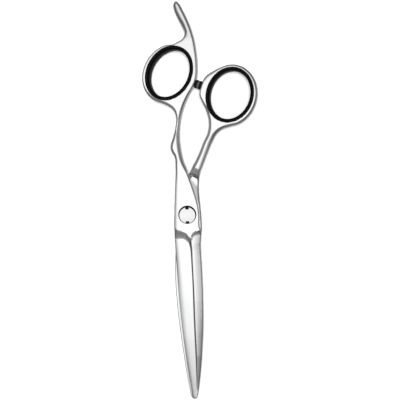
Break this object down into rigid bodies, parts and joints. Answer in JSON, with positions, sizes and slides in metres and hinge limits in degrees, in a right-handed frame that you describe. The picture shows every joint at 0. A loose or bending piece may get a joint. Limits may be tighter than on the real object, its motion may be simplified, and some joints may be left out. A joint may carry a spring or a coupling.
{
  "type": "hair cutting shears",
  "caption": "Hair cutting shears with offset handles, a curved finger rest, soft ring inserts, a ring bumper and long pointed blades on an adjustable screw pivot.",
  "frame": {"origin": "on the pivot's axis, in the plane that the shears rest on, which is the nut's closed bottom face", "axes": "+Z along the pivot's axis, up through the screw's head; +Y from the blade tips towards the handles; the finger ring is at -X and the thumb ring at +X"},
  "size_m": [0.0537, 0.1862, 0.0072],
  "materials": {
    "polished_steel": "polished",
    "screw_steel": "satin",
    "black_plastic": "satin",
    "black_rubber": "matte",
    "stud_plastic": "satin",
    "glide_plastic": "matte",
    "nut_brass": "machined"
  },
  "bodies": {
    "finger_body": {"finger_half": "polished_steel", "finger_ring_insert": "black_plastic", "pivot_bush": "glide_plastic"},
    "thumb_body": {"thumb_half": "polished_steel", "thumb_ring_insert": "black_plastic", "bumper_stud": "stud_plastic", "bumper_pad": "black_rubber", "nut_insert": "nut_brass", "thread_lock_ring": "glide_plastic", "blade_glide_disc": "glide_plastic"},
    "screw_body": {"pivot_screw": "screw_steel", "spring_washer": "screw_steel", "head_glide_washer": "glide_plastic"}
  },
  "joints": [
    {"name": "blade_pivot", "type": "hinge", "parent": "finger_body", "child": "thumb_body", "pos_m": [0, 0, 0.0036], "axis": [0, 0, -1], "range_deg": [0, 135]},
    {"name": "tension_screw_turn", "type": "hinge", "parent": "thumb_body", "child": "screw_body", "pos_m": [0, 0, 0.006], "axis": [0, 0, -1], "range_deg": [-90, 90]}
  ]
}
